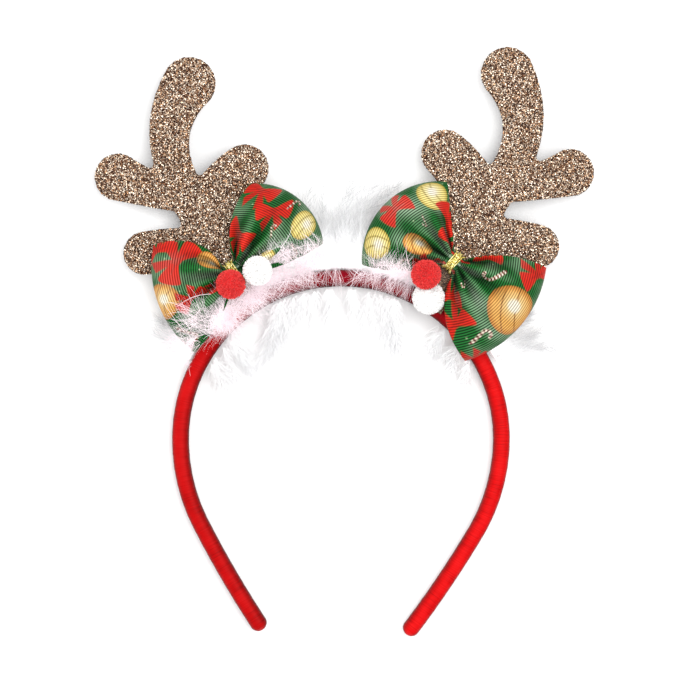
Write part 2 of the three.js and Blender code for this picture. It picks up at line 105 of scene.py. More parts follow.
# Print on the ribbon: place along the ribbon from the knot (first lobe +, second lobe -),
# place across it, size and turn
Motif = namedtuple("Motif", "kind along across size turn")
PRINTS = {
    "bow_right": (
        ("bauble_pale", 27.5, 15, 5.6, 20),
        ("bauble_pale", 25.9, -16.6, 6.6, 200),
        ("bow", 27.5, 0, 6.4, 90),
        ("bow", 14.8, -21, 7.4, 0),
        ("bow", 4.5, -15, 7, 20),
        ("bauble_gold", 12.6, 8, 6, 110),
        ("cane", 16.8, -6, 2.8, 70),
        ("cane", 17.3, 20, 4, 150),
        ("bow", 6, 19, 6.5, 0),
        ("bauble_gold", -26.5, -1.6, 9.8, 120),
        ("cane", -14.9, -9.8, 6, 330),
        ("cane", -26.4, 14, 4.8, 198),
        ("bow", -10.3, 21, 6.2, 80),
        ("bow", -20.3, 20.6, 6.8, 110),
        ("bow", -10.3, -22, 5.6, 0),
        ("bow", -30.2, -19.6, 7, 40),
        ("bow", -35.5, 21, 5, 90),
        ("cane", -7.5, 9, 3, 30),
    ),
    "bow_left": (
        ("bow", 19.5, -15, 9, 60),
        ("bow", 28, -21, 6, 20),
        ("bauble_gold", 28, 0, 7.6, 60),
        ("bauble_gold", 6.9, -18, 5.8, 0),
        ("bow", 16.8, 4, 6.2, 20),
        ("bow", 7, 5, 4.6, 60),
        ("cane", 25, 17, 5, 30),
        ("bow", -31.8, -16, 7.2, 80),
        ("bow", -25.5, -5.2, 7.4, 120),
        ("bow", -11.9, -16, 8.6, 70),
        ("bauble_pale", -30, 10.7, 6, 0),
        ("bauble_pale", -10.3, 12.6, 4.8, 0),
        ("cane", -32.8, 0, 3.4, 80),
        ("cane", -19.2, 0.5, 3, 140),
        ("cane", -23, 19, 4.5, 10),
    ),
}
PRINT_DOTS = 26

# Gold ties: where a turn of thread lies along the ribbon, how it bows on the front, how it slants across,
# and how high it lies
TIE_TURNS = (
    (-1.35, 0.0, 0.1, 0.0),
    (-0.85, 0.25, -0.2, 0.02),
    (-0.3, -0.2, 0.15, 0.0),
    (0.3, 0.2, -0.1, 0.03),
    (0.85, -0.25, 0.2, 0.0),
    (1.35, 0.1, -0.15, 0.02),
    (0.0, 0.3, 2.3, 0.34),
    (0.1, -0.4, -2.2, 0.36),
    (0.5, 0.5, 1.2, 0.5),
    (-0.5, -0.3, -1.1, 0.52),
)
THREAD_RADIUS = 0.25
TIE_SQUARENESS = 3.2

# Pompoms; pressed pairs share a flat
Pompom = namedtuple("Pompom", "centre radius colour")
POMPOMS = {
    "pompom_red_left": Pompom((-42.8, -4.0, 22.4), 5.2, "red"),
    "pompom_white_left": Pompom((-33.0, 1.3, 23.5), 5.2, "white"),
    "pompom_red_right": Pompom((29.6, 2.0, 21.3), 5.3, "red"),
    "pompom_white_right": Pompom((31.0, -6.6, 16.0), 5.8, "white"),
}
POMPOM_PAIRS = (
    ("pompom_red_left", "pompom_white_left"),
    ("pompom_red_right", "pompom_white_right"),
)
POMPOM_FIBRES = 3400
POMPOM_CLUMPS = 300
POMPOM_FIBRE_HALF = 0.2

# Antler stems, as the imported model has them: foot, lean from straight up, and where the sheet begins
Stem = namedtuple("Stem", "foot lean start")
STEMS = {
    "antler_right": Stem((30.6, -8.3), 30.5, -1.0),
    "antler_left": Stem((-35.4, -16.4), -29.6, 5.0),
}
STEM_HALF = 6.6
STEM_LENGTH = 62.0
GLITTER_START = 15.0
FRONT_FLAKES = 30000
EDGE_FLAKES = 2200
FLAKE_HALF = (0.12, 0.205)

# Feather trim. Angles are from the crown's middle; outward plumes leave square to the hoop, inward ones
# cross its front and hang toward the open end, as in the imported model
CORD_OUT = 5.1
CORD_HEIGHT = 4.2
CORD_END = 62
CORD_RADIUS = 1.9
PLUME_COPIES = 4
PLUME_REACH = 34.0
SIDE_SHORTER = 8.0
Outward = namedtuple("Outward", "start end count reach lean tip")
OUTWARD = (
    Outward(-61, -47, 5, 19, -10, 2.4),
    Outward(-43, -20, 5, 26, 4, 3.6),
    Outward(-16, 15, 8, 35, 0, 5.0),
    Outward(19, 42, 5, 27, -3, 3.6),
    Outward(46, 61, 5, 25, 8, 2.4),
    Outward(-14, 11, 5, 15, 0, 9.4),
)
Inward = namedtuple("Inward", "start end count reach drift")
INWARD = (
    Inward(-60, -49, 3, 15, 6),
    Inward(-28, -12, 5, 34, -5),
    Inward(-6, 9, 3, 22, 1),
    Inward(14, 20, 3, 29, 2),
    Inward(42, 57, 3, 17, -4),
)
# Inward plumes with roots past this place in x lie behind the right bow
REAR_FROM = 30
# Inward plumes have barbs from this share of their course on, inside the hoop
HANG_FROM = 0.5
# Down in tufts along the cord: angles, tufts, root outside the hoop's middle, heading from straight outward,
# reach and height; it lies behind the bows and antlers or in front of them
STRANDS_IN_TUFT = 16
STRAND_STEPS = 6
Down = namedtuple("Down", "at tufts root heading reach height")
DOWN_BEHIND = (
    Down((-62, 52), 130, (4, 7), (-60, 60), (5, 16), 5),
    Down((-13, 10), 70, (4, 8), (-50, 50), (8, 26), 9),
    Down((-68, -55), 20, (4, 8), (-50, 40), (10, 24), 4),
    Down((50, 61), 16, (4, 8), (-30, 50), (10, 24), 4),
)
DOWN_IN_FRONT = (
    Down((-49, -43), 22, (0, 6), (125, 225), (7, 14), 15),
    Down((-46, -28), 42, (1, 6), (120, 240), (7, 15), 15),
    Down((-28, -14), 18, (3, 6), (110, 250), (8, 15), 13),
    Down((-14, 8), 11, (3, 6), (110, 250), (8, 14), 11),
    Down((8, 24), 17, (3, 6), (110, 250), (6, 13), 13),
    Down((-50, -10), 84, (2, 7), (-180, 180), (3, 7), 14),
    Down((9, 22), 26, (2, 7), (-180, 180), (3, 6), 14),
    Down((-67, -57), 22, (3, 6), (-80, 50), (5, 13), 16),
    Down((-61, -49), 18, (4, 13), (-80, 60), (7, 16), 16),
    Down((-52, -43), 34, (-2, 4), (-70, 70), (7, 17), 17),
    Down((-44, -28), 24, (-1, 5), (-90, 90), (5, 11), 15),
    Down((-31, -9), 32, (3, 8), (-75, 75), (6, 15), 16),
    Down((-26, -7), 34, (7, 13), (-60, 45), (4, 10), 16),
    Down((8, 23), 24, (2, 6), (-80, 80), (4, 11), 15),
)
# Long single barbs in front of the bows: where they start and end, and how far they bow out
Barb = namedtuple("Barb", "start end bow")
LONG_BARBS = (
    Barb((-39.0, 3.2), (-46.6, 12.2), 1.2),
    Barb((-40.2, 1.0), (-50.5, 7.0), -1.0),
    Barb((-28.9, 6.6), (-20.6, 18.6), -1.6),
    Barb((-26.0, 6.0), (-10.5, 12.0), 1.5),
    Barb((23.8, 4.0), (22.6, 18.2), 1.4),
    Barb((-47.5, -8.0), (-62.5, -13.0), -1.8),
    Barb((-46.0, -12.5), (-64.0, -18.0), 1.6),
    Barb((-50.0, -16.0), (-62.0, -26.0), -1.2),
    Barb((-33.0, -6.0), (-12.0, -3.0), 2.4),
    Barb((14.0, -2.0), (20.5, 9.5), -1.2),
    Barb((-5.0, 5.0), (-1.5, -5.5), 0.9),
    Barb((6.0, 5.2), (2.0, -5.0), -1.1),
)
LONG_BARB_HALF = 0.11
BARB_HALF = 0.035
BARB_HALF_MORE = 0.08
FLUFF_THINNER = 0.66

# How near the hoop's middle line strands are over the hoop, the room they leave over the hoop, over the floor
# or an antler, and over a bow, and how high they may be behind an antler or a bow
BAND_ROOM = 3.6
BAND_CLEAR = 0.25
FLOOR_CLEAR = 0.3
BOW_CLEAR = 1.5
BEHIND_HEIGHT = ANTLER_FRONT - 2.7

# Fibres: colours at root, middle and tip, sheen, painted glow (an emission standing in for light that passes
# through the fibres), and where along a strand the painted glow ends, if it does
Fibre = namedtuple("Fibre", "root middle tip sheen glow glow_end")
FIBRES = {
    "pompom_red_fibre": Fibre(
        (0.62, 0.016, 0.018), (0.74, 0.035, 0.036), (0.82, 0.075, 0.07), 0.1, 0.0, None),
    "pompom_white_fibre": Fibre(
        (0.8, 0.79, 0.78), (0.92, 0.915, 0.905), (0.96, 0.955, 0.95), 0.2, 0.0, None),
    # feather_barb: near the cord the barbs are painted white and given a painted glow, where the dense plumes
    # shade each other; greyer toward the tips
    "feather_barb": Fibre((0.96, 0.96, 0.965), (0.72, 0.72, 0.73), (0.5, 0.5, 0.51), 0.1, 0.3, 0.55),
    # feather_fluff: the pink tint is painted red light bounced from the band, and its strong emission is
    # painted light that lifts the shade inside the fluff
    "feather_fluff": Fibre(
        (0.7, 0.585, 0.62), (0.76, 0.675, 0.705), (0.78, 0.74, 0.755), 0.2, 0.34, None),
    "feather_hanging_barb": Fibre(
        (0.95, 0.945, 0.95), (0.9, 0.9, 0.905), (0.8, 0.8, 0.81), 0.1, 0.03, None),
}

# How bright a white surface is under the lights; colours are given as they look there
STUDIO_LEVEL = 1.6
BLACK = (0, 0, 0, 1)
WHITE = (1, 1, 1, 1)


def seen(red, green, blue):
    """Linear surface colour that looks like an sRGB colour, 0 to 255, under the studio light."""
    values = np.array([red, green, blue]) / 255
    linear = np.where(values <= 0.04045, values / 12.92, ((values + 0.055) / 1.055) ** 2.4)
    return linear / STUDIO_LEVEL


def rgba(red, green, blue):
    return (*seen(red, green, blue), 1.0)


def grey(value):
    return (value, value, value, 1)


def unit(vectors):
    return vectors / np.maximum(np.linalg.norm(vectors, axis=-1, keepdims=True), 1e-9)


def smooth(low, high, values):
    x = np.clip((values - low) / (high - low), 0, 1)
    return x * x * (3 - 2 * x)


def squared(values, squareness):
    """Cosine or sine of an oval whose sides are flatter than a circle's."""
    return np.sign(values) * np.abs(values) ** (2 / squareness)


def make_mesh(name, points, faces, materials, maps=None, colours=None, slots=None, smooth_shade=True):
    """An object from points in millimetres and an array of faces, with per-point maps and colours."""
    mesh = bpy.data.meshes.new(name)
    corners = faces.shape[1]
    mesh.vertices.add(len(points))
    mesh.vertices.foreach_set("co", (np.asarray(points, dtype=np.float32) * MM).ravel())
    mesh.loops.add(faces.size)
    mesh.loops.foreach_set("vertex_index", faces.ravel().astype(np.int32))
    mesh.polygons.add(len(faces))
    mesh.polygons.foreach_set("loop_start", np.arange(0, faces.size, corners, dtype=np.int32))
    mesh.polygons.foreach_set("use_smooth", np.full(len(faces), smooth_shade))
    for material in materials:
        mesh.materials.append(material)
    if slots is not None:
        mesh.polygons.foreach_set("material_index", slots.astype(np.int32))
    mesh.update(calc_edges=True)
    for map_name, values in (maps or {}).items():
        layer = mesh.uv_layers.new(name=map_name)
        layer.uv.foreach_set("vector", values[faces.ravel()].astype(np.float32).ravel())
    for colour_name, values in (colours or {}).items():
        layer = mesh.attributes.new(colour_name, "FLOAT_COLOR", "POINT")
        full = np.concatenate([values, np.ones((len(values), 1))], axis=1)
        layer.data.foreach_set("color", full.astype(np.float32).ravel())
    piece = bpy.data.objects.new(name, mesh)
    bpy.context.scene.collection.objects.link(piece)
    return piece


def grid_faces(rows, columns, wrap_rows=False, wrap_columns=False):
    """Quads of a grid of points that is stored row by row."""
    r = np.arange(rows if wrap_rows else rows - 1)
    c = np.arange(columns if wrap_columns else columns - 1)
    r, c = np.meshgrid(r, c, indexing="ij")
    next_r = (r + 1) % rows
    next_c = (c + 1) % columns
    quads = [r * columns + c, r * columns + next_c, next_r * columns + next_c, next_r * columns + c]
    return np.stack(quads, axis=-1).reshape(-1, 4)


class Shader:
    """A material's node tree, built one node at a time."""

    def __init__(self, name, **values):
        self.material = bpy.data.materials.new(name)
        self.material.use_nodes = True
        self.tree = self.material.node_tree
        self.surface = self.tree.nodes["Principled BSDF"]
        for socket, value in values.items():
            self.surface.inputs[socket.replace("_", " ")].default_value = value

    def set(self, socket, value):
        if isinstance(value, bpy.types.NodeSocket):
            self.tree.links.new(value, socket)
        else:
            socket.default_value = value

    def node(self, kind, settings=None, **links):
        made = self.tree.nodes.new("ShaderNode" + kind)
        for key, value in (settings or {}).items():
            setattr(made, key, value)
        for socket, value in links.items():
            self.set(made.inputs[socket.replace("_", " ")], value)
        return made

    def uv(self, name):
        return self.node("UVMap", {"uv_map": name}).outputs[0]

    def place(self):
        return self.node("TexCoord").outputs["Object"]

    def axes(self, vector):
        return self.node("SeparateXYZ", Vector=vector).outputs

    def noise(self, vector, scale, detail):
        return self.node("TexNoise", Vector=vector, Scale=scale, Detail=detail).outputs[0]

    def scaled(self, vector, scale):
        return self.node("Mapping", Vector=vector, Scale=scale).outputs[0]

    def math(self, operation, first, second=0.0):
        made = self.node("Math", {"operation": operation})
        self.set(made.inputs[0], first)
        self.set(made.inputs[1], second)
        return made.outputs[0]

    def mix(self, factor, first, second, blend="MIX"):
        made = self.node("Mix", {"data_type": "RGBA", "blend_type": blend})
        self.set(made.inputs[0], factor)
        self.set(made.inputs[6], first)
        self.set(made.inputs[7], second)
        return made.outputs[2]

    def multiply(self, first, second):
        return self.mix(1.0, first, second, "MULTIPLY")

    def ramp(self, factor, stops):
        made = self.node("ValToRGB", Fac=factor)
        while len(made.color_ramp.elements) < len(stops):
            made.color_ramp.elements.new(0.5)
        for element, (place, colour) in zip(made.color_ramp.elements, stops):
            element.position = place
            element.color = colour
        return made.outputs[0]

    def bump(self, height, strength, distance):
        made = self.node("Bump", Height=height, Strength=strength, Distance=distance)
        self.set(self.surface.inputs["Normal"], made.outputs[0])

    def colour(self, value):
        self.set(self.surface.inputs["Base Color"], value)

    def rough(self, value):
        self.set(self.surface.inputs["Roughness"], value)


def satin_material():
    """Red satin tape wound round the hoop: fine crosswise threads, a little uneven, with painted shade on its
    sides, on the left leg and at the crown.
    """
    shader = Shader("satin_red", Sheen_Weight=0.02, Sheen_Roughness=0.4, Specular_IOR_Level=0.05)
    place = shader.uv("OFBake")
    along, around, _ = shader.axes(place)
    threads = shader.noise(shader.scaled(place, (850, 2.2, 1)), 1.0, 3.0)
    patches = shader.noise(shader.scaled(place, (45, 3, 1)), 1.0, 2.0)
    tone = shader.math("ADD", shader.math("MULTIPLY", threads, 0.6), shader.math("MULTIPLY", patches, 0.4))
    red = shader.ramp(tone, ((0.34, rgba(190, 2, 5)), (0.5, rgba(238, 9, 12)), (0.66, rgba(255, 26, 28))))
    # Painted shade: at the crown the tape is painted a darker crimson, where the feathers over it shade it
    painted_shade_crimson = shader.ramp(tone, ((0.3, rgba(122, 2, 24)), (0.7, rgba(178, 14, 46))))
    crown = shader.ramp(along, ((0.35, BLACK), (0.43, grey(0.85)), (0.57, grey(0.85)), (0.65, BLACK)))
    # Painted shade: the tape's sides are painted darker than its top, the inner side most, as a round band is
    # shaded where it turns from the light
    sides = shader.ramp(around, (
        (0.28, (0.32, 0.28, 0.28, 1)), (0.37, (0.8, 0.76, 0.76, 1)), (0.44, WHITE), (0.52, WHITE),
        (0.6, (0.62, 0.5, 0.5, 1)), (0.7, (0.24, 0.2, 0.2, 1))))
    # Painted shade: the left leg is painted darker than the right, and the crown a little darker, as the light
    # falls
    painted_leg_shade = shader.ramp(along, (
        (0.24, (0.72, 0.6, 0.6, 1)), (0.4, grey(0.9)), (0.6, grey(0.9)), (0.7, WHITE)))
    wound = shader.multiply(shader.mix(crown, red, painted_shade_crimson), painted_leg_shade)
    shader.colour(shader.multiply(wound, sides))
    shader.rough(shader.math("ADD", shader.math("MULTIPLY", patches, 0.25), 0.35))
    shader.bump(threads, 0.3, 0.0002)
    return shader.material


def antler_material():
    """Copper glitter sheet: packed flecks on the front, brown foam on the back and the cut edge."""
    shader = Shader("antler_sheet", Specular_IOR_Level=0.3)
    place = shader.place()
    flecks = shader.node("TexVoronoi", Vector=place, Scale=2700.0).outputs["Color"]
    tone = shader.node("SeparateColor", Color=flecks).outputs[0]
    glitter = shader.ramp(tone, (
        (0.0, rgba(50, 28, 16)), (0.35, rgba(92, 60, 40)), (0.65, rgba(146, 106, 78)),
        (0.85, rgba(206, 166, 130)), (1.0, rgba(250, 222, 190))))
    grain = shader.noise(place, 1500.0, 3.0)
    foam = shader.ramp(grain, ((0.3, rgba(58, 38, 26)), (0.7, rgba(96, 66, 48))))
    upward = shader.axes(shader.node("NewGeometry").outputs["Normal"])[2]
    front = shader.math("GREATER_THAN", upward, 0.5)
    shader.colour(shader.mix(front, foam, glitter))
    shader.rough(shader.math("SUBTRACT", 0.85, shader.math("MULTIPLY", front, 0.35)))
    shader.bump(tone, 0.4, 0.0003)
    return shader.material


def fleck_material():
    """Loose glitter flakes, each in its own shade from dark copper to bright champagne."""
    shader = Shader("glitter_flakes", Specular_IOR_Level=0.3, Metallic=0.85, Roughness=0.32)
    shader.colour(shader.ramp(shader.axes(shader.uv("OFBake"))[0], (
        (0.0, rgba(44, 20, 8)), (0.3, rgba(92, 54, 32)), (0.55, rgba(176, 124, 88)),
        (0.78, rgba(248, 196, 148)), (1.0, (0.92, 0.8, 0.66, 1)))))
    return shader.material


def rib_height(shader):
    """Rounded ribs across the ribbon: 0 in a groove and 1 on a crest."""
    along = shader.axes(shader.uv("ribbon"))[0]
    phase = shader.math("MULTIPLY", along, 2 * pi * MAP_UNIT / RIB_PITCH)
    return shader.math("ADD", shader.math("MULTIPLY", shader.math("COSINE", phase), 0.5), 0.5)


def ribbon_material():
    """Printed grosgrain: the print, crossed by raised ribs that catch the light, with painted shade in the
    grooves, painted highlights on the crests and patches of painted sheen.
    """
    shader = Shader("ribbon_print", Roughness=0.5, Sheen_Weight=0.02, Sheen_Roughness=0.5,
                    Specular_IOR_Level=0.08)
    # The print attribute holds the print with the folds' painted shade already in it
    print_colour = shader.node("Attribute", {"attribute_name": "print"}).outputs["Color"]
    rib = rib_height(shader)
    place = shader.uv("ribbon")
    weave = shader.noise(shader.scaled(place, (90, 260, 1)), 1.0, 2.0)
    # Painted highlight: soft patches of sheen, added on the crests of the green, stand in for light caught on
    # the ribs
    sheen = shader.noise(shader.scaled(place, (5.5, 7.5, 1)), 1.0, 1.0)
    gleam = shader.ramp(sheen, ((0.46, (0.006, 0.014, 0.006, 1)), (0.7, (0.27, 0.31, 0.25, 1))))
    redness = shader.node("SeparateColor", Color=print_colour).outputs[0]
    plain = shader.math("MAXIMUM", shader.math("SUBTRACT", 1.0, shader.math("MULTIPLY", redness, 1.9)), 0.15)
    gleam = shader.mix(plain, BLACK, gleam)
    # Painted shade and highlight on the ribs: grooves are painted darker and crests lighter, most on the
    # green, on top of the real bump
    valley = shader.mix(plain, (0.6, 0.52, 0.46, 1), (0.03, 0.06, 0.025, 1))
    crest = shader.mix(plain, (1.24, 1.2, 1.14, 1), (1.8, 1.78, 1.68, 1))
    shaded = shader.multiply(print_colour, shader.mix(rib, valley, crest))
    shaded = shader.mix(1.0, shaded, shader.mix(rib, BLACK, gleam), "ADD")
    darker = shader.multiply(shaded, (0.72, 0.74, 0.72, 1))
    shader.colour(shader.mix(shader.math("MULTIPLY", weave, 0.3), shaded, darker))
    shader.bump(rib, 0.6, 0.00018)
    return shader.material


def ribbon_back_material():
    """Unprinted inside of the ribbon: pale green threads with the same ribs, painted darker in the grooves and
    lighter on the crests as shade and light.
    """
    shader = Shader("ribbon_inside", Roughness=0.7, Sheen_Weight=0.1, Specular_IOR_Level=0.15)
    rib = rib_height(shader)
    shader.colour(shader.ramp(rib, ((0.0, rgba(70, 112, 78)), (1.0, rgba(150, 178, 148)))))
    shader.bump(rib, 0.6, 0.00018)
    return shader.material


def gold_material():
    """Metallic gold thread with brighter and darker turns."""
    shader = Shader("gold_thread", Metallic=0.5, Roughness=0.3)
    twist = shader.noise(shader.place(), 1400.0, 2.0)
    shader.colour(shader.ramp(twist, (
        (0.32, (0.22, 0.15, 0.015, 1)), (0.48, (0.7, 0.56, 0.1, 1)), (0.64, (1.0, 0.93, 0.5, 1)))))
    shader.bump(twist, 0.5, 0.0002)
    return shader.material


def fibre_material(name, fibre):
    """Fibres whose shade runs from root to tip, each strand a little different; an emission over all of them,
    or as far as a share of their course, is painted light that stands in for light passing through the fine
    fibres."""
    root, middle, tip = ((*colour, 1) for colour in (fibre.root, fibre.middle, fibre.tip))
    shader = Shader(name, Roughness=0.75, Sheen_Weight=fibre.sheen, Sheen_Roughness=0.5,
                    Specular_IOR_Level=0.1, Emission_Strength=fibre.glow, Emission_Color=middle)
    own, course, _ = shader.axes(shader.uv("OFBake"))
    own = shader.math("MULTIPLY", shader.math("SUBTRACT", own, 0.5), 0.3)
    shade = shader.math("ADD", course, own)
    shader.colour(shader.ramp(shade, ((0.0, root), (0.5, middle), (1.0, tip))))
    # Painted light: the emission fades out along the strand from the root
    if fibre.glow_end:
        painted_glow_fade = shader.ramp(shade, ((0.0, root), (fibre.glow_end, BLACK)))
        shader.set(shader.surface.inputs["Emission Color"], painted_glow_fade)
    return shader.material


def floor_material():
    shader = Shader("floor_white", Roughness=0.9, Specular_IOR_Level=0.1)
    mottle = shader.noise(shader.place(), 6.0, 1.0)
    shader.colour(shader.ramp(mottle, ((0.3, grey(0.90)), (0.7, grey(0.92)))))
    return shader.material


def hoop_stations(distances):
    """Points on the hoop's centreline and the outward directions, by signed distance from the crown."""
    arcs = ((CROWN_RADIUS, CROWN_LENGTH), (TEMPLE_RADIUS, TEMPLE_LENGTH), (LEG_RADIUS, LEG_LENGTH))
    left = np.abs(distances)
    x = np.zeros_like(left)
    y = np.zeros_like(left)
    heading = np.zeros_like(left)
    for radius, length in arcs:
        turned = heading + np.minimum(left, length) / radius
        x += radius * (np.sin(turned) - np.sin(heading))
        y += radius * (np.cos(turned) - np.cos(heading))
        heading = turned
        left = np.maximum(left - length, 0)
    side = np.where(distances < 0, -1.0, 1.0)
    return np.stack([side * x, y], -1), np.stack([side * np.sin(heading), np.cos(heading)], -1)


def make_band(material):
    """The hoop with its tape, whose turns overlap in small steps."""
    half = CROWN_LENGTH + TEMPLE_LENGTH + LEG_LENGTH
    straight = half - TIP_ROUND
    body = np.linspace(-straight, straight, BAND_STATIONS)
    tip = straight + TIP_ROUND * np.sin(np.linspace(0, pi / 2, TIP_STEPS)[1:])
    distances = np.concatenate([-tip[::-1], body, tip])
    centre, out = hoop_stations(distances)
    past = np.clip((np.abs(distances) - straight) / TIP_ROUND, 0, 1)
    size = np.sqrt(np.maximum(1 - past * past, 1e-4))[:, None]
    angle = np.linspace(-0.5 * pi, 1.5 * pi, BAND_SIDES)
    turns = distances[:, None] / WRAP_PITCH + angle / (2 * pi) * WRAP_SLANT
    phase = turns - np.floor(turns)
    step = WRAP_STEP * (phase - smooth(0.9, 1.0, phase))
    across = size * (BAND_THICK / 2 - step) * squared(np.cos(angle), BAND_SQUARENESS)
    rise = size * (BAND_HEIGHT / 2 - step) * squared(np.sin(angle), BAND_SQUARENESS)
    points = np.stack([
        centre[:, None, 0] + across * out[:, None, 0],
        centre[:, None, 1] + across * out[:, None, 1],
        BAND_HEIGHT / 2 + rise,
    ], -1)
    u = np.broadcast_to((distances / half * 0.49 + 0.5)[:, None], across.shape)
    v = np.broadcast_to(np.linspace(0.01, 0.99, BAND_SIDES), across.shape)
    faces = grid_faces(len(distances), BAND_SIDES)[:, ::-1]
    places = np.stack([u, v], -1).reshape(-1, 2)
    return make_mesh("band_wrap", points.reshape(-1, 3), faces, [material], {"OFBake": places})


def bow_across(bow):
    """Direction across the ribbon at the knot."""
    first = radians(bow.lobes[0].aim + 90)
    second = radians(bow.lobes[1].aim - 90)
    return unit(np.array([cos(first) + cos(second), sin(first) + sin(second)]))


def lobe_lift(lobe, out, phi, t):
    """Height of the ribbon's middle over the bow's middle plane."""
    front = phi < pi
    puff = np.where(front, lobe.puff * (1 - EDGE_DROP * t * t), BACK_PUFF)
    valley = PLEAT_DEPTH * PLEAT_LEVEL * out * (1 - out) ** 2 * np.cos(2 * pi * t)
    layer = (PINCH_GAP + (PINCH_EDGE_GAP - PINCH_GAP) * t * t) * np.cos(phi / 2)
    return layer + puff * np.sin(phi) * np.sin(phi / 2) - np.where(front, valley, 0)


def lobe_swell(lobe, t):
    low, high = lobe.swell
    return low + (high - low) * (t + 1) / 2


def lobe_reach(lobe, t):
    low, middle, high = lobe.reach
    return middle + t * (high - low) / 2 + t * t * ((high + low) / 2 - middle) - PINCH_NECK


def gather_height(lobe, out, t):
    """Small pleats that the tie presses into the ribbon; they fade out toward the fold."""
    wave = np.cos(pi * (GATHERS * t + 0.25 * np.sin(2.6 * t + lobe.turn)))
    return GATHER_DEPTH * wave * np.minimum(out / 0.08, 1) * (1 - smooth(0.22, 0.78, out))


def lobe_points(bow, lobe, phi, t):
    """Middle surface of a lobe: phi runs from the front pinch round the fold to the back pinch."""
    across = bow_across(bow)
    turn = lobe.turn
    out = (1 - np.cos(phi)) / 2
    angle = np.radians(lobe.aim + turn * t * lobe.spread * (1 + lobe_swell(lobe, t) * (1 - out)))
    fan = out * lobe_reach(lobe, t)
    gather = t * PINCH_HALF * (1 - out)
    fold = gather_height(lobe, out, t)
    flutter = EDGE_FLUTTER * np.sin(5.0 * out + 2.0 * t) * t ** 4 * out
    lift = lobe_lift(lobe, out, phi, t) + fold * np.where(phi < pi, 1.0, -0.6)
    lift = lift + np.where(phi < pi, flutter, 0)
    x = bow.knot[0] + turn * PINCH_NECK * across[1] + fan * np.cos(angle) + across[0] * gather
    y = bow.knot[1] - turn * PINCH_NECK * across[0] + fan * np.sin(angle) + across[1] * gather
    return np.stack([x, y, BOW_HEIGHT + lift], -1)


def bow_front(x, y):
    """Height over a place in plan that clears the bows' front, and how much of a bow is there: 1 on it,
    and less and less a little way outside it."""
    height = np.zeros_like(x)
    cover = np.zeros_like(x)
    for bow in BOWS.values():
        across = bow_across(bow)
        for lobe in bow.lobes:
            dx = x - bow.knot[0] - lobe.turn * PINCH_NECK * across[1]
            dy = y - bow.knot[1] + lobe.turn * PINCH_NECK * across[0]
            off = np.degrees(np.arctan2(dy, dx)) - lobe.aim
            off = lobe.turn * ((off + 180) % 360 - 180)
            out = np.hypot(dx, dy) / lobe_reach(lobe, np.clip(off / lobe.spread, -1, 1))
            swell = np.where(off < 0, *lobe.swell)
            t = off / (lobe.spread * (1 + swell * (1 - np.minimum(out, 1))))
            here = smooth(1.55, 1.08, np.abs(t)) * smooth(1.35, 1.08, out)
            flat = np.clip(out, 0, 0.98)
            phi = np.arccos(1 - 2 * flat)
            top = BOW_HEIGHT + lobe_lift(lobe, flat, phi, np.clip(t, -1, 1)) + BOW_CLEAR
            height = np.maximum(height, here * top)
            cover = np.maximum(cover, here)
    return height, cover


def soft_edge(distance, softness=0.3):
    return smooth(softness, -softness, distance)


def blend_in(colours, mask, paint):
    colours += mask[..., None] * (paint - colours)


def local_frame(x, y, motif):
    """Places on the ribbon in a motif's own frame, where its size is 1."""
    a = radians(motif.turn)
    dx = x - motif.along
    dy = y - motif.across
    return (dx * cos(a) + dy * sin(a)) / motif.size, (dy * cos(a) - dx * sin(a)) / motif.size


def paint_bow(colours, x, y, motif):
    """A tied bow: two loops that flare out from a small square knot, and two tails with slanted ends."""
    p, q = local_frame(x, y, motif)
    size = motif.size
    red = seen(222, 40, 26)
    dark = seen(150, 14, 12)
    for side in (-1, 1):
        a = radians(-90 + side * 34)
        run = p * cos(a) + q * sin(a)
        off = q * cos(a) - p * sin(a)
        tail = np.maximum(np.abs(off) - 0.1 - 0.16 * run, np.abs(run - 0.55) - 0.5 + 0.5 * side * off)
        blend_in(colours, soft_edge(tail * size), dark + (red - dark) * 0.7)
    away = np.abs(p)
    rise = q - 0.14 * away
    corner = 0.14
    beside = np.abs(rise) - 0.1 - 0.5 * away + corner
    beyond = away - 1.08 + 0.3 * rise * rise + corner
    rounded = np.hypot(np.maximum(beside, 0), np.maximum(beyond, 0))
    loop = rounded + np.minimum(np.maximum(beside, beyond), 0) - corner
    blend_in(colours, soft_edge(loop * size), red)
    fold = np.maximum(np.abs(rise) - 0.06 * (1 - away), np.abs(away - 0.38) - 0.24)
    blend_in(colours, 0.6 * soft_edge(fold * size, 0.4), dark)
    knot = np.maximum(np.abs(p) - 0.15, np.abs(q) - 0.19)
    blend_in(colours, soft_edge(knot * size), red * 0.72)


def paint_bauble(colours, x, y, motif):
    """A shiny ball: shaded rim, a white gleam and two thin seams."""
    p, q = local_frame(x, y, motif)
    size = motif.size
    if motif.kind == "bauble_gold":
        rim, body, light = seen(196, 122, 50), seen(240, 182, 98), seen(255, 230, 170)
    else:
        rim, body, light = seen(202, 178, 76), seen(248, 232, 146), seen(255, 250, 212)
    radius = np.hypot(p, q)
    gleam = np.hypot(p + 0.18, q - 0.1)
    paint = light + smooth(0.1, 0.75, gleam)[..., None] * (body - light)
    paint = paint + smooth(0.7, 1.05, radius)[..., None] * (rim - paint)
    for bend in (-0.42, 0.16):
        seam = np.abs(q - bend - 0.32 * p * p) * size
        paint = paint + (0.85 * soft_edge(seam - 0.28, 0.2))[..., None] * (rim * 0.6 - paint)
    paint = paint + soft_edge((gleam - 0.26) * size, 0.8)[..., None] * (seen(255, 252, 238) - paint)
    blend_in(colours, soft_edge((radius - 1) * size), paint)


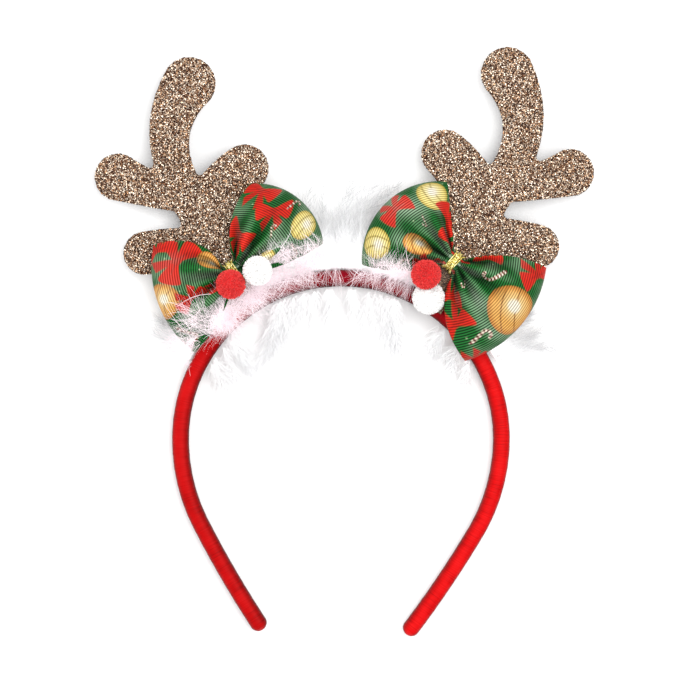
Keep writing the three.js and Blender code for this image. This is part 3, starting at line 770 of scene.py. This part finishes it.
def paint_cane(colours, x, y, motif):
    """A striped candy cane: a straight stick and a hook."""
    p, q = local_frame(x, y, motif)
    size = motif.size
    hook_radius = 0.32
    hook_start = 0.35
    stick = np.hypot(p, q - np.clip(q, -1.0, hook_start))
    hook_angle = np.arctan2(q - hook_start, p - hook_radius)
    hook = np.abs(np.hypot(p - hook_radius, q - hook_start) - hook_radius)
    hook = np.where(hook_angle > -0.4, hook, 9.0)
    distance = np.minimum(stick, hook)
    run = np.where(stick <= hook, q, hook_start + hook_radius * (pi - hook_angle))
    stripe = smooth(-0.3, 0.3, np.sin(2 * pi * (run * size / 1.7 + p * 0.8)))
    pale = seen(250, 240, 226)
    paint = pale + stripe[..., None] * (seen(118, 40, 34) - pale)
    blend_in(colours, soft_edge((distance - 0.125) * size, 0.2), paint)


PAINTERS = {"bow": paint_bow, "bauble_gold": paint_bauble, "bauble_pale": paint_bauble, "cane": paint_cane}


def print_colours(name, along, across):
    """The print at places along and across the ribbon, as linear colours."""
    colours = np.empty(along.shape + (3,))
    colours[:] = seen(20, 100, 40)
    cloud = 0.5 + 0.5 * np.sin(along * 0.21 + 1.3) * np.cos(across * 0.17)
    colours += cloud[..., None] * 0.5 * (seen(8, 70, 24) - colours)
    for i in range(PRINT_DOTS):
        dot = np.hypot(along - 42 * sin(2.4 * i + 0.7), across - 23 * sin(3.7 * i + 2.1))
        blend_in(colours, 0.8 * soft_edge(dot - 0.32, 0.2), seen(196, 220, 176))
    for row in PRINTS[name]:
        motif = Motif(*row)
        PAINTERS[motif.kind](colours, along, across, motif)
    return colours


def make_bow(name, front_material, back_material):
    """The ribbon loop as a thin closed wall, printed outside and plain inside."""
    bow = BOWS[name]
    t = np.linspace(-1, 1, RIBBON_COLUMNS)
    phi = np.concatenate([
        np.linspace(0, pi, FRONT_STEPS, endpoint=False),
        np.linspace(pi, 2 * pi, BACK_STEPS + 1),
    ])
    rows = []
    alongs = []
    painted_fold_shades = []
    for lobe in bow.lobes:
        grid = lobe_points(bow, lobe, phi[:, None], t)
        middle = grid[:, RIBBON_COLUMNS // 2]
        run = np.concatenate([[0], np.cumsum(np.linalg.norm(np.diff(middle, axis=0), axis=1))])
        folded = np.where(phi > pi, 2 * run[FRONT_STEPS] - run, run)
        out = (1 - np.cos(phi[:, None])) / 2
        # Painted shade: the print is darkened in the hollows of the pleats and near the knot, where the folds
        # shade it, and lightened on the pleats' ridges
        pleat = gather_height(lobe, out, t) - 0.6 * np.cos(2 * pi * t) * (1 - out)
        shade = np.clip(0.98 + 0.32 * pleat - 0.35 * (1 - out) ** 4, 0.16, 1.35)
        rows.append(grid[::lobe.turn])
        alongs.append((lobe.turn * folded)[::lobe.turn])
        painted_fold_shades.append(shade[::lobe.turn])
    surface = np.concatenate(rows)
    length_run = np.roll(surface, -1, axis=0) - np.roll(surface, 1, axis=0)
    width_run = np.gradient(surface, axis=1)
    normal = unit(np.cross(length_run, width_run)) * RIBBON_WALL / 2
    loop = np.append(np.arange(len(surface)), 0)
    outer = (surface + normal)[loop]
    inner = (surface - normal)[loop]
    count = len(loop)
    along_grid = np.broadcast_to(np.concatenate(alongs)[loop][:, None], (count, RIBBON_COLUMNS))
    across_grid = np.broadcast_to(t * RIBBON_HALF, (count, RIBBON_COLUMNS))
    paint = print_colours(name, along_grid, across_grid) * np.concatenate(painted_fold_shades)[loop][..., None]
    place = np.stack([along_grid, across_grid], -1) / MAP_UNIT
    run = np.linspace(0.01, 0.99, count)[:, None]
    low = [0, 0]
    high = [RIBBON_COLUMNS - 1, RIBBON_COLUMNS - 1]
    low_edge = np.stack([inner[:, 0], outer[:, 0]], 1)
    high_edge = np.stack([outer[:, -1], inner[:, -1]], 1)
    # Points, print with its painted fold shade, places on the ribbon, strip in the bake map, material slot,
    # and whether faces turn over
    sheets = (
        (outer, paint, place, t * 0.3 + 0.31, 0, True),
        (inner, paint, place, t * 0.16 + 0.81, 1, False),
        (low_edge, paint[:, low], place[:, low], [0.622, 0.632], 0, True),
        (high_edge, paint[:, high], place[:, high], [0.982, 0.992], 0, True),
    )
    values = []
    faces = []
    slots = []
    first = 0
    for sheet, shown, where, strip, slot, flip in sheets:
        quads = grid_faces(count, sheet.shape[1]) + first
        first += sheet.shape[0] * sheet.shape[1]
        spot = np.stack(np.broadcast_arrays(run, strip), -1)
        values.append(np.concatenate([sheet, shown, where, spot], -1).reshape(-1, 10))
        faces.append(quads[:, ::-1] if flip else quads)
        slots.append(np.full(len(quads), slot))
    points, colours, places, spots = np.split(np.concatenate(values), (3, 6, 8), axis=1)
    return make_mesh(
        name + "_ribbon", points, np.concatenate(faces), [front_material, back_material],
        {"ribbon": places, "OFBake": spots}, {"print": colours}, np.concatenate(slots))


def make_tie(name, bow, material):
    """Gold thread wound round the pinch, turn beside turn, with a few crossing turns on top."""
    across = bow_across(bow)
    along = np.array([across[1], -across[0]])
    steps = 64
    sides = 8
    angle = np.arange(steps) * 2 * pi / steps
    ring = (np.arange(sides) * 2 * pi / sides)[:, None]
    tube_faces = grid_faces(steps, sides, wrap_rows=True, wrap_columns=True)
    points = []
    faces = []
    for place, bowed, slant, lift in TIE_TURNS:
        wide = (PINCH_HALF + 0.62 + lift) * squared(np.cos(angle), TIE_SQUARENESS)
        high = (PINCH_GAP + RIBBON_WALL / 2 + 0.85 + lift) * squared(np.sin(angle), TIE_SQUARENESS)
        run = place + 0.5 * bowed * np.sin(angle) + slant * np.cos(angle)
        path = np.stack([
            bow.knot[0] + wide * across[0] + run * along[0],
            bow.knot[1] + wide * across[1] + run * along[1],
            BOW_HEIGHT + high,
        ], -1)
        forward = unit(np.roll(path, -1, axis=0) - np.roll(path, 1, axis=0))
        side = np.broadcast_to(np.array([along[0], along[1], 0.0]), forward.shape)
        upward = unit(np.cross(forward, side))
        round_path = np.cos(ring) * side[:, None, :] + np.sin(ring) * upward[:, None, :]
        tube = path[:, None, :] + THREAD_RADIUS * round_path
        faces.append(tube_faces + len(points) * steps * sides)
        points.append(tube.reshape(-1, 3))
    return make_mesh(name + "_thread", np.concatenate(points), np.concatenate(faces), [material])


def strand_arrays(paths, half_width, rng, taper):
    """Points, faces and places in the bake map of thin flat strands along paths."""
    count, steps, _ = paths.shape
    along = unit(np.gradient(paths, axis=1))
    aside = unit(np.cross(along, unit(rng.normal(size=(count, 1, 3)))))
    share = np.linspace(0, 1, steps)
    width = np.asarray(half_width).reshape(-1, 1, 1) * (1 - taper * share ** 1.5)[:, None]
    points = np.stack([paths - aside * width, paths + aside * width], axis=2)
    base = (np.arange(count) * steps * 2)[:, None]
    k = np.arange(steps - 1) * 2
    faces = np.stack([base + k, base + k + 1, base + k + 3, base + k + 2], -1).reshape(-1, 4)
    u = np.clip(rng.random((count, 1, 1)) * 0.96 + 0.02 + np.array([-0.004, 0.004]), 0, 1)
    u = np.broadcast_to(u, (count, steps, 2))
    v = np.broadcast_to(share[:, None] * 0.98 + 0.01, (count, steps, 2))
    return points.reshape(-1, 3), faces, np.stack([u, v], -1).reshape(-1, 2)


def joined(parts):
    """One set of points, faces and map places from several."""
    starts = np.cumsum([0] + [len(points) for points, _, _ in parts[:-1]])
    points = np.concatenate([points for points, _, _ in parts])
    faces = np.concatenate([faces + start for (_, faces, _), start in zip(parts, starts)])
    return points, faces, np.concatenate([places for _, _, places in parts])


def ball_directions(count):
    """Even directions over a ball."""
    i = np.arange(count) + 0.5
    z = 1 - 2 * i / count
    turn = pi * (1 + sqrt(5)) * i
    flat = np.sqrt(1 - z * z)
    return np.stack([flat * np.cos(turn), flat * np.sin(turn), z], -1)


def make_pompom(name, material, seed):
    """A ball of short fibres that stand out all round, pressed flat where it meets its neighbour."""
    rng = np.random.default_rng(seed)
    centre = np.array(POMPOMS[name].centre)
    radius = POMPOMS[name].radius
    pair = next(p for p in POMPOM_PAIRS if name in p)
    other = POMPOMS[pair[0] if pair[1] == name else pair[1]]
    toward = np.array(other.centre) - centre
    gap = np.linalg.norm(toward)
    toward /= gap
    flat = gap * radius / (radius + other.radius) - 0.15
    size = (POMPOM_FIBRES, 3)
    direction = unit(ball_directions(POMPOM_FIBRES) + rng.normal(scale=0.03, size=size))
    clump = unit(ball_directions(POMPOM_CLUMPS) + rng.normal(scale=0.05, size=(POMPOM_CLUMPS, 3)))
    nearest = clump[np.argmax(direction @ clump.T, axis=1)]
    reach = radius * (0.98 + 0.12 * rng.random(POMPOM_FIBRES))
    start = 0.74 * radius
    share = np.linspace(0, 1, 4)[:, None]
    lean = unit(direction + 0.35 * nearest + rng.normal(scale=0.12, size=size))
    heading = unit(direction[:, None, :] * (1 - share) + lean[:, None, :] * share)
    paths = heading * (start + (reach[:, None, None] - start) * share)
    fibres = strand_arrays(paths, np.full(POMPOM_FIBRES, POMPOM_FIBRE_HALF), rng, 0.4)
    rows = 18
    columns = 32
    tilt = np.linspace(0.02, pi - 0.02, rows)[:, None]
    turn = np.arange(columns) * 2 * pi / columns
    ball = np.stack([np.sin(tilt) * np.cos(turn), np.sin(tilt) * np.sin(turn), np.cos(tilt) + 0 * turn], -1)
    ball = ball.reshape(-1, 3) * radius * (0.9 + 0.03 * rng.random((rows * columns, 1)))
    core = (ball, grid_faces(rows, columns, wrap_columns=True)[:, ::-1], np.full((len(ball), 2), 0.3))
    points, faces, places = joined([fibres, core])
    past = np.maximum(points @ toward - flat, 0)
    points = points - past[:, None] * toward + centre
    return make_mesh(name + "_fibres", points, faces, [material], {"OFBake": places})


def crown_points(angle, outside, height):
    """Places by angle from the crown's middle, distance outside the hoop's middle line, and height."""
    radius = CROWN_RADIUS + outside
    a = np.radians(angle)
    return np.stack([radius * np.sin(a), radius * np.cos(a) - CROWN_RADIUS, height], -1)


def outside_crown(x, y):
    """How far a place in plan is outside the middle line of the hoop's crown."""
    return np.hypot(x, y + CROWN_RADIUS) - CROWN_RADIUS


def bezier(a, b, c, share):
    return a * (1 - share) ** 2 + 2 * b * share * (1 - share) + c * share ** 2


def curve_through(points, shares):
    """Smooth curve through a few points, at shares of its course from 0 to 1."""
    ends = np.concatenate([2 * points[:1] - points[1:2], points, 2 * points[-1:] - points[-2:-1]])
    place = np.clip(shares, 0, 1) * (len(points) - 1)
    i = np.minimum(place.astype(int), len(points) - 2)
    u = (place - i)[:, None]
    a, b, c, d = (ends[i + k] for k in range(4))
    second = 2 * a - 5 * b + 4 * c - d
    third = 3 * b - a - 3 * c + d
    return 0.5 * (2 * b + (c - a) * u + second * u ** 2 + third * u ** 3)


def along_stem(stem, x, y):
    """How far up an antler's stem a place in plan is, and how far off its middle line."""
    a = radians(stem.lean)
    dx = x - stem.foot[0]
    dy = y - stem.foot[1]
    return dx * sin(a) + dy * cos(a), dx * cos(a) - dy * sin(a)


def over_stem(x, y):
    """Whether a place in plan is over an antler's stem, or within 1 mm of it."""
    found = np.zeros(x.shape, dtype=bool)
    for stem in STEMS.values():
        run, off = along_stem(stem, x, y)
        found |= (np.abs(off) < STEM_HALF + 1) & (run > stem.start - 1) & (run < STEM_LENGTH)
    return found


def clear_of_pieces(paths, over):
    """Lifts or presses strands so that they run round the hoop, the antlers and the bows."""
    x, y, z = paths[..., 0], paths[..., 1], paths[..., 2]
    over_band = (np.abs(outside_crown(x, y)) < BAND_ROOM) & (y > -CROWN_RADIUS)
    stem = over_stem(x, y)
    top, cover = bow_front(x, y)
    floor = np.where(over_band, BAND_HEIGHT + BAND_CLEAR, FLOOR_CLEAR)
    if over:
        floor = np.where(stem, ANTLER_FRONT + FLOOR_CLEAR, floor)
        floor = np.maximum(floor, top)
        z = np.maximum(z, floor)
        eased = z.copy()
        eased[:, 1:-1] = (z[:, :-2] + 2 * z[:, 1:-1] + z[:, 2:]) / 4
        z = np.maximum(eased, floor)
    else:
        hidden = stem | (cover > 0.8)
        z = np.where(hidden, np.minimum(z, BEHIND_HEIGHT), z)
        z = np.maximum(z, np.where(hidden, FLOOR_CLEAR, floor))
    return np.stack([x, y, z], -1)


def uneven(index, seed):
    """Repeatable unevenness between -1 and 1."""
    return sin(index * 12.9898 + seed * 78.233)


def plume_places(groups, strays, rng):
    """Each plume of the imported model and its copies: its group's number, the group, its number in the group,
    its angle on the crown, and random values for how a copy strays from it."""
    for number, group in enumerate(groups):
        for i in range(group.count * PLUME_COPIES):
            row = i // PLUME_COPIES
            stray = (i % PLUME_COPIES > 0) * rng.normal(size=strays)
            share = row / (group.count - 1)
            yield number, group, row, group.start + (group.end - group.start) * share, stray


def plume_axes(rng):
    """Curves of the plumes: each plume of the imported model, and finer ones that stray round it."""
    outward = []
    inward = []
    for g, group, row, angle, stray in plume_places(OUTWARD, 4, rng):
        angle = angle + 2.0 * stray[0]
        reach = group.reach * (0.86 + 0.14 * uneven(row, g)) * (1 - 0.16 * abs(stray[1]))
        heading = radians(90 - angle - group.lean - 14 * uneven(row, g + 20) + 9 * stray[2])
        away = np.array([cos(heading), sin(heading), 0.0])
        sway = np.array([-away[1], away[0], 0.0]) * 0.1 * reach * (uneven(row, g + 40) + 0.6 * stray[3])
        root = crown_points(angle, CORD_OUT, CORD_HEIGHT)
        middle = root + away * reach * 0.5 + sway
        tip = root + away * reach
        middle[2] = CORD_HEIGHT + (group.tip - CORD_HEIGHT) * 0.62 + 0.6
        tip[2] = group.tip
        outward.append(np.array([root, middle, tip]))
    for g, group, row, angle, stray in plume_places(INWARD, 3, rng):
        angle = angle + 1.6 * stray[0]
        reach = group.reach * (0.84 + 0.16 * uneven(row, g + 60)) * (1 - 0.2 * abs(stray[1]))
        root = crown_points(angle, CORD_OUT, CORD_HEIGHT)
        shoulder = crown_points(angle, 3.4, BAND_HEIGHT + 1.0)
        inside = crown_points(angle, -3.9, BAND_HEIGHT + 1.0)
        tip = inside + np.array([group.drift + 3 * uneven(row, g + 80) + 3 * stray[2], -reach, 0])
        tip[2] = 1.8
        middle = (inside + tip) / 2
        middle[2] = 5.2
        inward.append(np.array([root, shoulder, inside, middle, tip]))
    return outward, inward


def plume_barbs(axes, barbs, length, rng, over, first=0.05):
    """Shafts and barbs of plumes: barbs leave the shaft on both sides and bend toward its tip."""
    shares = np.linspace(0, 1, STRAND_STEPS)
    q = shares[:, None]
    shafts = []
    paths = []
    for axis in axes:
        start = np.sort(rng.uniform(first, 0.97, barbs))
        base = curve_through(axis, start)
        ahead = unit(curve_through(axis, start + 0.02) - curve_through(axis, start - 0.02))
        aside = unit(np.stack([-ahead[:, 1], ahead[:, 0], 0 * ahead[:, 2]], -1))
        side = rng.choice([-1.0, 1.0], barbs)[:, None]
        lean = np.radians(rng.normal(34, 12, barbs))[:, None]
        away = ahead * np.cos(lean) + side * aside * np.sin(lean)
        reach = (length * rng.uniform(0.4, 1.1, barbs) * (1 - 0.4 * start))[:, None, None]
        bend = away[:, None, :] * (1 - 0.4 * q) + ahead[:, None, :] * 0.4 * q
        drift = rng.normal(scale=0.12, size=(barbs, 1, 3)) * q
        paths.append(base[:, None, :] + reach * q * (bend + drift))
        shafts.append(curve_through(axis, first + (1 - first) * shares))
    return clear_of_pieces(np.concatenate(paths + [np.array(shafts)]), over)


def tufted(values, spread, rng):
    """Values for the strands of tufts that are near the tufts' own values."""
    count = len(values) * STRANDS_IN_TUFT
    return np.repeat(values, STRANDS_IN_TUFT) + rng.normal(scale=spread, size=count)


def down_paths(group, rng, over):
    """Fine curled barbs that leave the cord in tufts."""
    tufts = group.tufts
    total = tufts * STRANDS_IN_TUFT
    angle = tufted(rng.uniform(*group.at, tufts), 0.9, rng)
    heading = tufted(rng.uniform(*group.heading, tufts), 14, rng)
    reach = tufted(rng.uniform(*group.reach, tufts), 0.5, rng) * rng.uniform(0.45, 1.1, total)
    bend = tufted(rng.normal(scale=20, size=tufts), 12, rng)
    outside = tufted(rng.uniform(*group.root, tufts), 0.6, rng)
    share = np.linspace(0, 1, STRAND_STEPS)
    turned = np.radians(90 - angle[:, None] - heading[:, None] - bend[:, None] * share)
    step = reach[:, None] / (STRAND_STEPS - 1)
    root = crown_points(angle, outside, 0 * angle)
    x = root[:, :1] + np.cumsum(np.cos(turned) * step, axis=1) - np.cos(turned[:, :1]) * step
    y = root[:, 1:2] + np.cumsum(np.sin(turned) * step, axis=1) - np.sin(turned[:, :1]) * step
    start = CORD_HEIGHT + rng.random((total, 1)) * (group.height - CORD_HEIGHT) * 0.8
    peak = group.height * rng.uniform(0.75, 1.15, (total, 1))
    z = bezier(start, peak, 0.8 * peak, share)
    return clear_of_pieces(np.stack([x, y, z], -1), over)


def long_barb_paths():
    share = np.linspace(0, 1, STRAND_STEPS)[:, None]
    paths = []
    for barb in LONG_BARBS:
        start = np.array([*barb.start, BAND_HEIGHT + 2.0])
        run = np.array([*barb.end, BAND_HEIGHT + 4.0]) - start
        aside = unit(np.array([-run[1], run[0], 0.0]))
        paths.append(start + run * share + aside * barb.bow * 4 * share * (1 - share))
    return clear_of_pieces(np.array(paths), True)


def feather_cord():
    """The cord that the feathers are tied to, uneven and thin at its ends."""
    stations = 125
    sides = 10
    angle = np.linspace(-CORD_END, CORD_END, stations)[:, None]
    turn = np.arange(sides) * 2 * pi / sides
    fat = CORD_RADIUS + 0.25 * np.sin(angle * 1.7) * np.cos(2 * turn + angle)
    fat = fat * np.clip((CORD_END - np.abs(angle)) / 10, 0.001, 1) ** 0.6
    outside = CORD_OUT + 0.2 + fat * np.cos(turn)
    points = crown_points(angle + 0 * turn, outside, CORD_HEIGHT + fat * np.sin(turn)).reshape(-1, 3)
    return points, grid_faces(stations, sides, wrap_columns=True), np.full((len(points), 2), 0.5)


def make_feathers(looks):
    """The trim in three pieces: feathers behind the bows, fluff in front, and plumes that hang inward."""
    rng = np.random.default_rng(2412)
    outward, inward = plume_axes(rng)
    front_inward = [axis for axis in inward if axis[0][0] < REAR_FROM]
    rear_inward = [axis for axis in inward if axis[0][0] >= REAR_FROM]
    outer = [plume_barbs(outward, 92, 9.0, rng, False)]
    outer += [down_paths(group, rng, False) for group in DOWN_BEHIND]
    front = [down_paths(group, rng, True) for group in DOWN_IN_FRONT] + [long_barb_paths()]
    hanging = [
        plume_barbs(front_inward, 110, 10.0, rng, True, HANG_FROM),
        plume_barbs(rear_inward, 110, 10.0, rng, False, HANG_FROM),
    ]
    pieces = []
    for name, paths, look in (
        ("feather_outer", outer, "feather_barb"),
        ("feather_front", front, "feather_fluff"),
        ("feather_hanging", hanging, "feather_hanging_barb"),
    ):
        paths = np.concatenate(paths)
        half = BARB_HALF + BARB_HALF_MORE * rng.random(len(paths)) ** 2.5
        if name == "feather_front":
            half = FLUFF_THINNER * half
            half[-len(LONG_BARBS):] = LONG_BARB_HALF
        strands = strand_arrays(paths, half, rng, 0.7)
        points, faces, places = joined([strands, feather_cord()]) if name == "feather_outer" else strands
        if name != "feather_front":
            # The colour, and the outer barbs' painted glow, follow the distance from the cord, against a reach
            # that is less at the hoop's sides
            x, y = points[:, 0], points[:, 1]
            angle = np.degrees(np.arctan2(x, y + CROWN_RADIUS))
            longest = PLUME_REACH - SIDE_SHORTER * smooth(20, 45, np.abs(angle))
            places[:, 1] = np.clip(np.abs(outside_crown(x, y) - CORD_OUT) / longest, 0.01, 0.99)
        pieces.append(make_mesh(name, points, faces, [looks[look]], {"OFBake": places}))
    return pieces


def make_flakes(node, material, seed):
    """Glitter flakes scattered over the front of an antler, with strays along its edge."""
    rng = np.random.default_rng(seed)
    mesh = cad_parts[node].data
    mesh.calc_loop_triangles()
    corners = np.array([t.vertices for t in mesh.loop_triangles])
    points = np.array([v.co for v in mesh.vertices]) / MM
    a, b, c = points[corners[:, 0]], points[corners[:, 1]], points[corners[:, 2]]
    normal = np.cross(b - a, c - a)
    area = np.linalg.norm(normal, axis=1) / 2
    facing = unit(normal)
    front = facing[:, 2] > 0.9
    edge = np.abs(facing[:, 2]) < 0.5
    centres = []
    normals = []
    for chosen, count in ((front, FRONT_FLAKES), (edge, EDGE_FLAKES)):
        weight = area * chosen
        pick = rng.choice(len(area), size=count, p=weight / weight.sum())
        r = np.sqrt(rng.random((count, 1)))
        s = rng.random((count, 1))
        centres.append(a[pick] * (1 - r) + b[pick] * r * (1 - s) + c[pick] * r * s)
        normals.append(facing[pick])
    centre = np.concatenate(centres)
    normal = np.concatenate(normals)
    shown = along_stem(STEMS[node], centre[:, 0], centre[:, 1])[0] > GLITTER_START
    centre = centre[shown]
    normal = normal[shown]
    total = len(centre)
    tilt = unit(normal + rng.normal(scale=0.28, size=(total, 3)))
    aside = unit(np.cross(tilt, unit(rng.normal(size=(total, 3)))))
    ahead = np.cross(tilt, aside)
    half = rng.uniform(*FLAKE_HALF, (total, 1))
    middle = centre + normal * 0.1
    corner = [(-1, -1), (1, -1), (1, 1), (-1, 1)]
    flakes = np.stack([middle + half * (p * aside + q * ahead) for p, q in corner], axis=1).reshape(-1, 3)
    faces = np.arange(total * 4).reshape(-1, 4)
    tone = np.repeat(np.clip(rng.beta(0.2, 0.33, total), 0.02, 0.98), 4)
    maps = {"OFBake": np.stack([tone, np.tile([0.2, 0.2, 0.8, 0.8], total)], -1)}
    return make_mesh(node + "_glitter", flakes, faces, [material], maps, smooth_shade=False)


def dress(piece, node):
    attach(piece, BODY)
    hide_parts(node)


def add_trim(piece):
    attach(piece, BODY)


def make_stage():
    """A white floor just under the headband, a white sky and two soft lamps aimed at the origin."""
    half = 3000.0
    level = -0.05
    corners = np.array([(x * half, y * half, level) for x, y in ((-1, -1), (1, -1), (1, 1), (-1, 1))])
    floor = make_mesh("floor", corners, np.array([[0, 1, 2, 3]]), [floor_material()])
    world = bpy.data.worlds.new("studio")
    world.use_nodes = True
    sky = world.node_tree.nodes["Background"]
    sky.inputs["Color"].default_value = WHITE
    sky.inputs["Strength"].default_value = 1.08
    bpy.context.scene.world = world
    for name, place, width, power in (
        ("key", (0.28, 0.08, 1.05), 0.7, 7.6),
        ("side", (-1.1, 0.2, 0.55), 0.8, 5.2),
    ):
        lamp = bpy.data.lights.new(name, "AREA")
        lamp.size = width
        lamp.energy = power
        holder = bpy.data.objects.new(name, lamp)
        holder.location = place
        x, y, z = place
        holder.rotation_euler = (atan2(hypot(x, y), z), 0, atan2(-y, -x) - pi / 2)
        bpy.context.scene.collection.objects.link(holder)


def make_camera():
    """Straight above, as the photograph is taken, with the hoop turned a little in the picture."""
    picture = 700
    pixel = 0.375
    plane = 8.0
    distance = 1500.0
    aim = (2.28, -26.94)
    sensor = 36.0
    camera = bpy.data.cameras.new("camera")
    camera.sensor_width = sensor
    camera.lens = sensor * distance / (picture * pixel)
    camera.clip_end = 100.0
    holder = bpy.data.objects.new("camera", camera)
    holder.location = (aim[0] * MM, aim[1] * MM, (plane + distance) * MM)
    holder.rotation_euler = (0, 0, radians(1.9))
    bpy.context.scene.collection.objects.link(holder)
    bpy.context.scene.camera = holder


make_camera()
make_stage()
bpy.context.scene.view_settings.view_transform = "Standard"

dress(make_band(satin_material()), "band")

sheet_look = antler_material()
fleck_look = fleck_material()
for number, node in enumerate(STEMS):
    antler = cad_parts[node]
    antler.data.materials.clear()
    antler.data.materials.append(sheet_look)
    add_trim(make_flakes(node, fleck_look, 31 + number))

print_look = ribbon_material()
inside_look = ribbon_back_material()
gold_look = gold_material()
for node, bow in BOWS.items():
    ribbon = make_bow(node, print_look, inside_look)
    dress(ribbon, node)
    tie_node = node.replace("bow", "bow_tie")
    dress(make_tie(tie_node, bow, gold_look), tie_node)

fibre_looks = {name: fibre_material(name, fibre) for name, fibre in FIBRES.items()}
for number, (node, pompom) in enumerate(POMPOMS.items()):
    look = fibre_looks["pompom_" + pompom.colour + "_fibre"]
    dress(make_pompom(node, look, 51 + number), node)
for piece in make_feathers(fibre_looks):
    dress(piece, "feather_trim")
